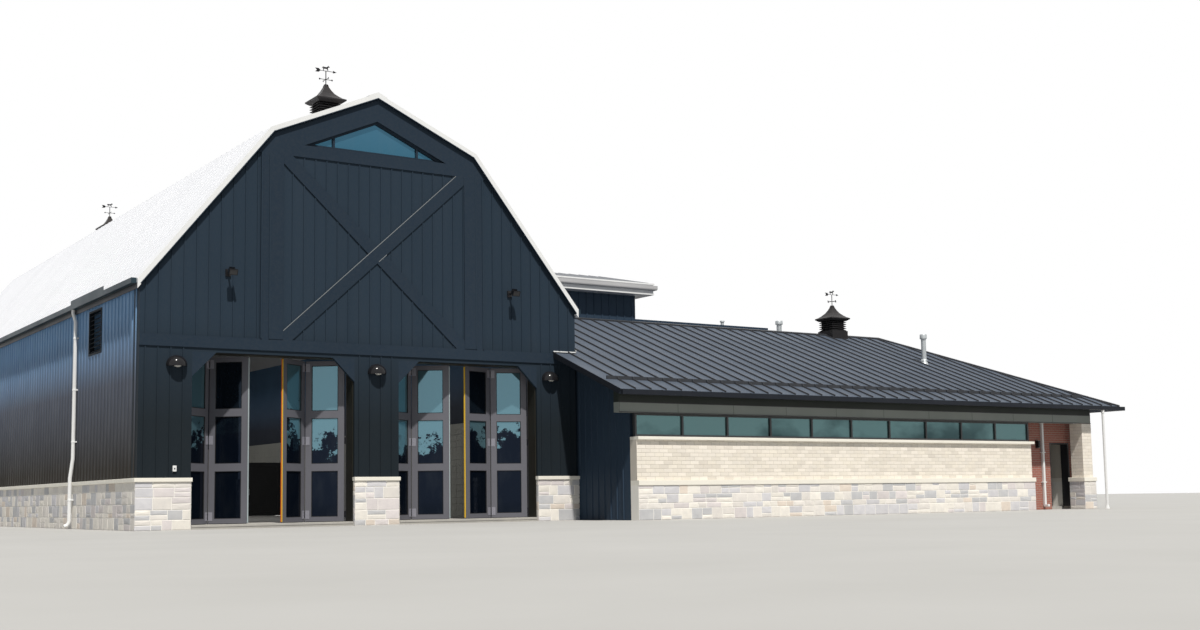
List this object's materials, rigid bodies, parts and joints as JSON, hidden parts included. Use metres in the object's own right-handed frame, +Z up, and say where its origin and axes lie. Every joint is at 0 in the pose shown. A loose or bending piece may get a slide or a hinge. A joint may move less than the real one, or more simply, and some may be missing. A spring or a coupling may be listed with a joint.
{
  "type": "fire station",
  "caption": "Fire station with a gambrel-roofed vehicle hall, glazed folding bay doors under a braced gable, and a long hipped wing with a strip of windows beside it.",
  "frame": {"origin": "on the ground, on the vehicle hall's centre line, halfway along the hall", "axes": "+Z up, -Y towards the bay doors, +X towards the wing"},
  "size_m": [32.83, 33.237, 13.1057],
  "materials": {
    "black_metal": "gloss black",
    "concrete": "trowelled concrete floor",
    "cupola_louvre": "satin dark slats",
    "cupola_metal": "satin dark folded metal",
    "dark_board": "matt slate-blue board and batten",
    "dark_glass": "dark tinted glass",
    "dark_ribbed": "matt ribbed metal siding",
    "dark_trim": "matt slate-blue flat boards",
    "door_frame": "satin mauve-grey frames",
    "frieze": "satin two-tone panel",
    "grey_roof": "matt charcoal standing-seam metal",
    "gutter": "satin dark gutter",
    "pale_brick": "large cream brick with pale joints",
    "pale_roof": "satin standing-seam metal",
    "red_brick": "red brick",
    "steel": "galvanized",
    "stone": "split-faced ashlar in mixed pale greys and creams",
    "stone_cap": "smooth cast stone",
    "white_trim": "satin white folded metal",
    "window_frame": "satin black frames"
  },
  "bodies": {
    "building": {"bay_corner_boards": "dark_trim", "bay_door_frames": "door_frame", "bay_door_glass": "dark_glass", "bay_door_hinges": "black_metal", "cross_braces": "dark_trim", "cupola_bodies": "cupola_louvre", "cupola_roofs": "cupola_metal", "doorway_frames": "window_frame", "downspouts": "white_trim", "front_gable_wall": "dark_board", "front_piers": "dark_board", "front_stone_bases": "stone", "gable_trim": "dark_trim", "gable_window_frames": "dark_trim", "gable_window_glass": "dark_glass", "hall_floor": "concrete", "hall_gutters": "gutter", "left_bay_doors": "door_frame", "left_stone_base": "stone", "left_wall": "dark_ribbed", "lower_roof": "pale_roof", "porch_brick_wall": "red_brick", "porch_column": "pale_brick", "raised_block": "dark_ribbed", "raised_block_roof": "white_trim", "rake_boards": "white_trim", "rear_gable_wall": "dark_board", "rear_stone_base": "stone", "ridge_cap": "white_trim", "right_bay_doors": "door_frame", "right_stone_base": "stone", "right_wall": "dark_ribbed", "roof_screen": "dark_ribbed", "side_louvre": "black_metal", "snow_guard": "black_metal", "stone_caps": "stone_cap", "upper_roof": "pale_roof", "vane_masts": "black_metal", "vent_pipes": "steel", "wall_lamps": "black_metal", "wing_end_wall": "pale_brick", "wing_floor": "concrete", "wing_frieze": "frieze", "wing_front_wall": "pale_brick", "wing_gutters": "gutter", "wing_left_return": "dark_ribbed", "wing_rear_wall": "pale_brick", "wing_roof_end": "grey_roof", "wing_roof_front": "grey_roof", "wing_roof_rear": "grey_roof", "wing_sill_cap": "stone_cap", "wing_stone_base": "stone", "wing_window_frames": "window_frame", "wing_window_glass": "dark_glass"},
    "front_vane": {"front_wind_vane": "black_metal"},
    "rear_vane": {"rear_wind_vane": "black_metal"},
    "wing_vane": {"wing_wind_vane": "black_metal"}
  },
  "joints": [
    {"name": "front_vane_spin", "type": "hinge", "parent": "building", "child": "front_vane", "pos_m": [0, -11.44, 12.81], "axis": [0, 0, 1], "continuous": true},
    {"name": "rear_vane_spin", "type": "hinge", "parent": "building", "child": "rear_vane", "pos_m": [0, 10.94, 12.81], "axis": [0, 0, 1], "continuous": true},
    {"name": "wing_vane_spin", "type": "hinge", "parent": "building", "child": "wing_vane", "pos_m": [20.2, -10.582, 7.7628], "axis": [0, 0, 1], "continuous": true}
  ]
}
